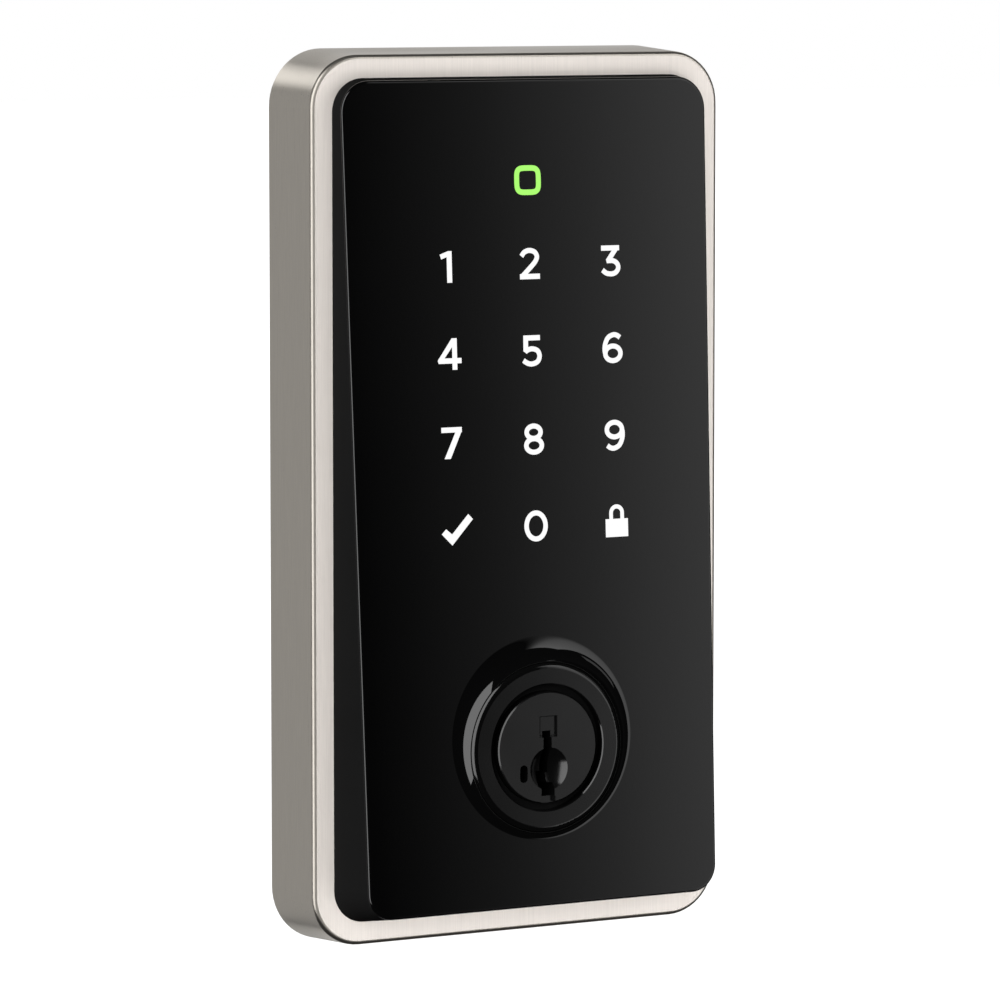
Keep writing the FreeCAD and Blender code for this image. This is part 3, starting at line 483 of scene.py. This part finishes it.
def follower_coil(number, depth):
    """Coil in place of a follower spring's plain sleeve; the coil is a fixed mesh and does not shorten
    as its follower lifts.
    """
    start = Vector((0, depth, SPRING_FOOT))
    axis = Vector((0, 0, 1))
    verts, faces = coil_tube(start, axis, SPRING_TOP - SPRING_FOOT)
    piece = add_piece("follower_coil_%d" % number, verts, faces, "spring_steel", "plug")
    piece.data.shade_smooth()
    piece.data.validate()
    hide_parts("follower_spring_%d" % number)
    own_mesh(piece)


for index in range(TUMBLERS):
    follower_coil(index + 1, FIRST_TUMBLER + TUMBLER_PITCH * index)


# ---------------------------------------------------------------- key symbols
# Each symbol is drawn about the middle of its key, as a union of flat polygons and pen strokes
KEY_MIDDLE_X = -0.15
KEY_PITCH_X = 14.8
KEY_PITCH_UP = 13.8
LOWEST_KEYS = 35.07             # heights along the slanted face
STATUS_LIGHT = 89.6
PRINT_HEIGHT = 0.05
SYMBOL_SCALE = 0.97
STROKE = 0.82
SHACKLE_STROKE = 0.68
STATUS_STROKE = 0.9
SHARPEST_MITRE = 0.35


def smooth(points, steps=10):
    """Catmull-Rom curve through the points."""
    ends = [points[0]] + list(points) + [points[-1]]
    curve = []
    for a, b, c, d in zip(ends, ends[1:], ends[2:], ends[3:]):
        for step in range(steps):
            t = step / steps
            curve.append(tuple(
                0.5 * (2 * b[k] + (c[k] - a[k]) * t + (2 * a[k] - 5 * b[k] + 4 * c[k] - d[k]) * t * t
                       + (3 * b[k] - a[k] - 3 * c[k] + d[k]) * t ** 3) for k in (0, 1)))
    return curve + [tuple(points[-1])]


def ring(cx, cy, rx, ry, power=2.0, start=0, sweep=360, steps=56):
    """Points round an ellipse, or a squarer ring when power is above 2."""
    points = []
    count = steps if sweep == 360 else steps + 1
    for step in range(count):
        angle = math.radians(start + sweep * step / steps)
        c, s = math.cos(angle), math.sin(angle)
        points.append((cx + rx * math.copysign(abs(c) ** (2 / power), c),
                       cy + ry * math.copysign(abs(s) ** (2 / power), s)))
    return points


def stroke(points, width=STROKE, closed=False):
    """Quads of a pen stroke along the points, mitred at its bends and cut square at its ends."""
    count = len(points)
    sides = []
    for place in range(count):
        here = Vector(points[place])
        before = Vector(points[place - 1]) if closed or place else None
        after = Vector(points[(place + 1) % count]) if closed or place < count - 1 else None
        lead = (here - before).normalized() if before is not None else (after - here).normalized()
        tail = (after - here).normalized() if after is not None else lead
        across = lead + tail
        normal = Vector((-across.y, across.x)).normalized()
        reach = width / 2 / max(SHARPEST_MITRE, normal.dot(Vector((-lead.y, lead.x))))
        sides.append((here + normal * reach, here - normal * reach))
    pairs = zip(sides, sides[1:] + (sides[:1] if closed else []))
    return [[a[0], b[0], b[1], a[1]] for a, b in pairs]


def filled(polygons):
    """Vertices and faces of the union of some flat polygons, all wound anticlockwise."""
    points = []
    faces = []
    for polygon in polygons:
        area = sum(a[0] * b[1] - b[0] * a[1] for a, b in zip(polygon, polygon[1:] + polygon[:1]))
        corners = polygon if area > 0 else polygon[::-1]
        faces.append(list(range(len(points), len(points) + len(corners))))
        points += [Vector(p) for p in corners]
    result = delaunay_2d_cdt(points, [], faces, 1, 1e-4)
    kept = [face for face, source in zip(result[2], result[5]) if source]
    used = sorted({place for face in kept for place in face})
    renumbered = {place: count for count, place in enumerate(used)}
    return [result[0][p] for p in used], [[renumbered[p] for p in face] for face in kept]


def printed(name, x, v, polygons, material):
    """Thin printed shape on the slanted face, as a closed slab."""
    flat, faces = filled(polygons)
    count = len(flat)
    verts = [on_face(x + p.x * SYMBOL_SCALE, v + p.y * SYMBOL_SCALE, out)
             for out in (PRINT_HEIGHT, 0) for p in flat]
    edges = {(a, b) for face in faces for a, b in zip(face, face[1:] + face[:1])}
    slab = [tuple(face) for face in faces]
    slab += [tuple(p + count for p in reversed(face)) for face in faces]
    slab += [(b, a, a + count, b + count) for a, b in sorted(edges) if (b, a) not in edges]
    add_piece(name, verts, slab, material, EXTERIOR)


def turned(polygons):
    """The shape turned half round."""
    return [[(-p[0], -p[1]) for p in polygon] for polygon in polygons]


SIX = stroke(ring(0.03, -0.925, 1.44, 1.2), closed=True) + stroke(smooth(
    [(1.42, 1.64), (0.85, 2.02), (0.12, 2.12), (-0.83, 1.66), (-1.38, 0.65), (-1.51, -0.35),
     (-1.37, -1.1)]))
SYMBOLS = {
    "digit_1": (-0.25, -0.15, [[(0.17, -2.55), (1.08, -2.55), (1.08, 2.55), (0.42, 2.55),
                                (-1.1, 2.02), (-0.84, 1.24), (0.17, 1.6)]]),
    "digit_2": (0, 0, stroke(smooth(
        [(-1.5, 1.2), (-0.93, 1.86), (0.0, 2.12), (0.97, 1.84), (1.39, 1.12), (1.12, 0.38),
         (0.45, -0.36)]) + [(-1.42, -2.07)])
        + [[(-1.85, -2.55), (1.87, -2.55), (1.87, -1.68), (-1.85, -1.68)]]),
    "digit_3": (0, 0, [[(-1.73, 1.7), (1.68, 1.7), (1.68, 2.55), (-1.73, 2.55)],
                       [(1.68, 2.12), (0.38, 0.44), (-0.12, -0.25), (-0.84, 0.27), (0.3, 1.72),
                        (0.9, 2.3)],
                       [(-0.84, 0.27), (-0.7, -0.36), (0.1, -0.36), (0.1, 0.3)]]
                + stroke([(-0.5, 0.06)] + ring(0.08, -1.03, 1.36, 1.1, 2.0, 90, -180, 28)
                         + smooth([(0.0, -2.13), (-0.82, -1.98), (-1.56, -1.46)])[1:])),
    "digit_4": (0, 0, [[(0.48, -2.55), (1.36, -2.55), (1.36, 2.55), (0.48, 2.55)],
                       [(-2.04, -1.52), (2.16, -1.52), (2.16, -0.66), (-2.04, -0.66)],
                       [(-2.2, -1.0), (-2.04, -1.52), (-1.0, -1.2), (-1.0, -0.7), (0.6, 1.3),
                        (0.9, 2.55), (0.44, 2.55)]]),
    "digit_5": (0, 0, [[(-1.52, 1.7), (1.58, 1.7), (1.58, 2.55), (-1.52, 2.55)],
                       [(-1.55, -0.02), (-1.02, -0.34), (-0.66, 0.1), (-0.66, 2.0), (-1.52, 2.0)]]
                + stroke(smooth([(-1.22, -0.1), (-0.62, 0.22), (0.15, 0.34), (1.08, 0.0),
                                 (1.44, -0.85), (1.08, -1.72), (0.08, -2.12), (-0.85, -1.97),
                                 (-1.58, -1.5)]))),
    "digit_6": (0, 0, SIX),
    "digit_7": (0, -0.14, [[(-1.88, 1.7), (1.88, 1.7), (1.88, 2.55), (-1.88, 2.55)],
                           [(-1.4, -2.55), (-0.28, -2.55), (1.88, 1.95), (1.88, 2.3),
                            (0.72, 1.75)]]),
    "digit_8": (0, -0.14, stroke(ring(-0.03, 1.13, 1.3, 1.01), closed=True)
                + stroke(ring(0, -1.03, 1.45, 1.1), closed=True)),
    "digit_9": (0, -0.14, turned(SIX)),
    "check_mark": (0.6, 0, [[(-2.9, -0.6), (-1.0, -2.48), (-1.0, -0.7), (-2.08, 0.2)],
                            [(-1.0, -2.48), (2.9, 1.63), (2.06, 2.48), (-1.0, -0.7)]]),
    "digit_0": (0, -0.08, stroke(ring(0, 0, 1.78, 2.125), closed=True)),
    "padlock": (0, 0, [[(-2.12, -2.62), (2.12, -2.62), (2.12, 0.35), (-2.12, 0.35)]]
                + stroke([(-1.05, 0.2)] + ring(0, 1.32, 1.05, 1.05, 2.0, 180, -180, 28)
                         + [(1.05, 0.2)], SHACKLE_STROKE)),
}
LAYOUT = [("check_mark", "digit_0", "padlock"), ("digit_7", "digit_8", "digit_9"),
          ("digit_4", "digit_5", "digit_6"), ("digit_1", "digit_2", "digit_3")]
for row, names in enumerate(LAYOUT):
    for column, name in enumerate(names):
        shift_x, shift_v, shapes = SYMBOLS[name]
        printed(name, KEY_MIDDLE_X + (column - 1) * KEY_PITCH_X + shift_x,
                LOWEST_KEYS + row * KEY_PITCH_UP + shift_v, shapes, "symbol_white")
STATUS_RING = stroke(ring(0, 0, 2.02, 1.97, 4.2, steps=96), STATUS_STROKE, True)
printed("status_outline", KEY_MIDDLE_X, STATUS_LIGHT, STATUS_RING, "symbol_green")


# ---------------------------------------------------------------- painted shade in the mark on the plug
# Painted shade: thin dark matt strips on the floor of the square recess in the plug's face, along its
# left, top and bottom walls, as (left, right, bottom, top)
RECESS_SHADE_LINES = [(-1.25, -1.10, 1.80, 5.06), (-1.10, 1.75, 4.90, 5.06), (-1.10, -0.76, 1.80, 1.94),
              (0.76, 1.75, 1.80, 1.94)]
MARK_FLOOR = -21.85
SHADE_STRIP_HEIGHT = 0.02


def recess_shade_strips():
    """Closed dark bars of painted shade along the recess walls, which stand on the floor of the recess
    and reach as far into it.
    """
    verts, faces = [], []
    for left, right, bottom, top in RECESS_SHADE_LINES:
        a, b, c, d = range(len(verts), len(verts) + 4)
        verts += [Vector((x, y, z)) * MM for y in (MARK_FLOOR - SHADE_STRIP_HEIGHT, MARK_FLOOR + SHADE_STRIP_HEIGHT)
                  for x, z in ((left, bottom), (right, bottom), (right, top), (left, top))]
        faces += [(a, b, c, d), (d + 4, c + 4, b + 4, a + 4)]
        faces += [(q, p, p + 4, q + 4) for p, q in ((a, b), (b, c), (c, d), (d, a))]
    # The dark matt finish on these strips is painted shade along the walls of the recess.
    add_piece("recess_shade_strips", verts, faces, "panel_sides", "plug")


recess_shade_strips()


# ---------------------------------------------------------------- stage and lights
# Lights are given by the bearings that they fill, in degrees, as seen from CENTRE
CENTRE = Vector((0, -0.015, 0.04))
PANEL_DISTANCE = 2.5
LAMP_DISTANCE = 2.3
FLOOR_HEIGHT = -0.034
FLOOR_SIZE = 9
FLOOR_GLOW = 1.1
BACKDROP_RADIUS = 6.2
BACKDROP_RINGS = 24
WORLD_STRENGTH = 0.03


def stage_plane(name, centre, across, up, width, height, material):
    """Flat stage panel about its centre; across and up are unit vectors."""
    mesh = bpy.data.meshes.new(name)
    corners = [(-1, -1), (1, -1), (1, 1), (-1, 1)]
    mesh.from_pydata([(a * width / 2, b * height / 2, 0) for a, b in corners], [], [(0, 1, 2, 3)])
    mesh.materials.append(material)
    panel = bpy.data.objects.new(name, mesh)
    scene.collection.objects.link(panel)
    panel.rotation_mode = "QUATERNION"
    panel.rotation_quaternion = Matrix((across, up, across.cross(up))).transposed().to_quaternion()
    panel.location = centre
    return panel


def glow_material(name, strength):
    """Plain white emission."""
    mat = bpy.data.materials.new(name)
    mat.use_nodes = True
    tree = mat.node_tree
    tree.nodes.clear()
    emit = add(tree, "ShaderNodeEmission", Strength=strength, Color=(1, 1, 1, 1))
    out = add(tree, "ShaderNodeOutputMaterial")
    tree.links.new(emit.outputs[0], out.inputs["Surface"])
    return mat


def product(tree, first, second):
    """Product of an output and another output or number."""
    node = add(tree, "ShaderNodeMath", operation="MULTIPLY")
    tree.links.new(first, node.inputs[0])
    if isinstance(second, (int, float)):
        node.inputs[1].default_value = second
    else:
        tree.links.new(second, node.inputs[1])
    return node.outputs[0]


def graded(tree, coordinate, ramp):
    """Brightness along a coordinate; a ramp is a list of (metres, brightness)."""
    low, high = ramp[0][0], ramp[-1][0]
    top = max(value for _, value in ramp)
    spots = [((place - low) / (high - low), value / top) for place, value in ramp]
    curve = add(tree, "ShaderNodeFloatCurve")
    points = curve.mapping.curves[0].points
    points[0].location = spots[0]
    points[-1].location = spots[-1]
    for spot in spots[1:-1]:
        points.new(*spot)
    curve.mapping.update()
    tree.links.new(ranged(tree, coordinate, 0, 1, low, high), curve.inputs["Value"])
    return product(tree, curve.outputs[0], top)


def window(azimuths, elevations, distance):
    """Direction, width and height of a flat rectangle that fills the given bearings."""
    azimuth = sum(azimuths) / 2 * DEG
    elevation = sum(elevations) / 2 * DEG
    width = 2 * distance * math.tan((azimuths[1] - azimuths[0]) / 2 * DEG) * math.cos(elevation)
    height = 2 * distance * math.tan((elevations[1] - elevations[0]) / 2 * DEG)
    return direction(azimuth, elevation), width, height


def soft_light(name, azimuths, elevations, strength, lit_objects=None):
    """Glowing panel that faces the object, unseen by the camera but mirrored in gloss."""
    towards, width, height = window(azimuths, elevations, PANEL_DISTANCE)
    across = Vector((-towards.y, towards.x, 0)).normalized()
    panel = stage_plane(name, CENTRE + towards * PANEL_DISTANCE, across, across.cross(-towards),
                        width, height, glow_material(name, strength))
    panel.visible_camera = False
    if lit_objects:
        panel.light_linking.receiver_collection = lit_objects
    return panel


def area_light(name, azimuths, elevations, radiance, lit_objects):
    """Area lamp that lights only the given objects."""
    towards, width, height = window(azimuths, elevations, LAMP_DISTANCE)
    lamp = bpy.data.lights.new(name, "AREA")
    lamp.shape = "RECTANGLE"
    lamp.size = width
    lamp.size_y = height
    lamp.energy = radiance * math.pi * lamp.size * lamp.size_y
    holder = bpy.data.objects.new(name, lamp)
    scene.collection.objects.link(holder)
    holder.location = CENTRE + towards * LAMP_DISTANCE
    holder.rotation_mode = "QUATERNION"
    holder.rotation_quaternion = (-towards).to_track_quat("-Z", "Y")
    holder.visible_camera = False
    holder.light_linking.receiver_collection = lit_objects


def light_group(name, objects):
    """Collection of the objects that a light reaches."""
    group = bpy.data.collections.new(name)
    for item in objects:
        group.objects.link(item)
    return group


def floor():
    """Pale floor, unseen in reflections."""
    tree, shader = node_material("floor_pale")
    pale = tinted(tree, noise(tree, 3, detail=2.0), (0.90, 0.90, 0.90), (0.93, 0.93, 0.93))
    tree.links.new(pale, shader.inputs["Base Color"])
    shader.inputs["Roughness"].default_value = 0.9
    shader.inputs["Emission Color"].default_value = (1, 1, 1, 1)
    shader.inputs["Emission Strength"].default_value = FLOOR_GLOW
    plane = stage_plane("floor", Vector((0, 0, FLOOR_HEIGHT)), Vector((1, 0, 0)), Vector((0, 1, 0)),
                        FLOOR_SIZE, FLOOR_SIZE, MATERIALS["floor_pale"])
    plane.visible_glossy = False
    plane.visible_diffuse = False


def backdrop():
    """White sphere round the stage that only the camera sees."""
    around = 2 * BACKDROP_RINGS
    verts, faces = [], []
    for ring_number in range(BACKDROP_RINGS + 1):
        polar = math.pi * ring_number / BACKDROP_RINGS
        for place in range(around):
            turn = 2 * math.pi * place / around
            verts.append(Vector((math.sin(polar) * math.cos(turn), math.sin(polar) * math.sin(turn),
                                 math.cos(polar))) * BACKDROP_RADIUS)
    for ring_number in range(BACKDROP_RINGS):
        first = ring_number * around
        for place in range(around):
            after = (place + 1) % around
            faces.append((first + place, first + after, first + around + after,
                          first + around + place))
    mesh = bpy.data.meshes.new("backdrop")
    mesh.from_pydata(verts, [], faces)
    mesh.materials.append(glow_material("backdrop_white", 1.0))
    dome = bpy.data.objects.new("backdrop", mesh)
    scene.collection.objects.link(dome)
    for ray in ("diffuse", "glossy", "transmission", "volume_scatter", "shadow"):
        setattr(dome, "visible_" + ray, False)


frame_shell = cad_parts["escutcheon_frame"]
glossy = [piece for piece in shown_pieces() if piece not in (frame_shell, bezel)]
gloss_parts = light_group("gloss_parts", glossy)
frame_only = light_group("frame_only", [frame_shell])
bezel_only = light_group("bezel_only", [bezel])
metal_parts = light_group("metal_parts", [frame_shell, bezel])
all_but_bezel = light_group("all_but_bezel", glossy + [frame_shell])

# The card on the right fades towards the camera's side, which draws the gradient across the panel
CARD_ACROSS = [(-0.486, 0.02), (-0.477, 0.037), (-0.4565, 0.069), (-0.436, 0.11), (-0.415, 0.157),
               (-0.395, 0.215), (-0.375, 0.30), (-0.355, 0.385), (-0.335, 0.48), (-0.3155, 0.60),
               (-0.296, 0.71), (-0.277, 0.83), (-0.25, 0.98), (-0.2, 1.2), (-0.1, 1.35),
               (0.486, 1.4)]
CARD_UP = [(-1.47, 0.9), (-0.75, 1.0), (0.1, 1.0), (1.47, 1.4)]
card = soft_light("light_right_card", (26.5, 49.5), (-25, 36), 1.0, all_but_bezel)
card_tree = card.active_material.node_tree
where = add(card_tree, "ShaderNodeTexCoord")
split = add(card_tree, "ShaderNodeSeparateXYZ")
card_tree.links.new(where.outputs["Object"], split.inputs[0])
card_glow = product(card_tree, graded(card_tree, split.outputs["X"], CARD_ACROSS),
                    graded(card_tree, split.outputs["Y"], CARD_UP))
card_tree.links.new(card_glow, card_tree.nodes["Emission"].inputs["Strength"])

soft_light("light_front_left", (-80, -34), (-31, 58), 3.7, gloss_parts)
soft_light("light_right_strip", (56, 63), (8, 24), 0.8, gloss_parts)
soft_light("light_back_left", (-182, -104), (-40, 20), 0.335)
soft_light("light_back_top", (-176, -138), (22, 38), 1.25)
soft_light("light_back_right", (115, 183), (-45, 46), 0.53)
area_light("lamp_front_left", (-80, -34), (-31, 58), 1.5, metal_parts)
area_light("lamp_front", (-34, 26), (-40, 40), 0.3, frame_only)
area_light("lamp_front_bezel", (-30, 4), (-45, 20), 4.2, bezel_only)
area_light("lamp_low_bezel", (-10, 60), (-70, -20), 2.8, bezel_only)
area_light("lamp_right_bezel", (50, 80), (-30, 30), 3.6, bezel_only)
area_light("lamp_above", (-60, 60), (62, 88), 0.1, metal_parts)

world = bpy.data.worlds.new("world")
world.use_nodes = True
world.node_tree.nodes["Background"].inputs["Color"].default_value = (1, 1, 1, 1)
world.node_tree.nodes["Background"].inputs["Strength"].default_value = WORLD_STRENGTH
scene.world = world
floor()
backdrop()
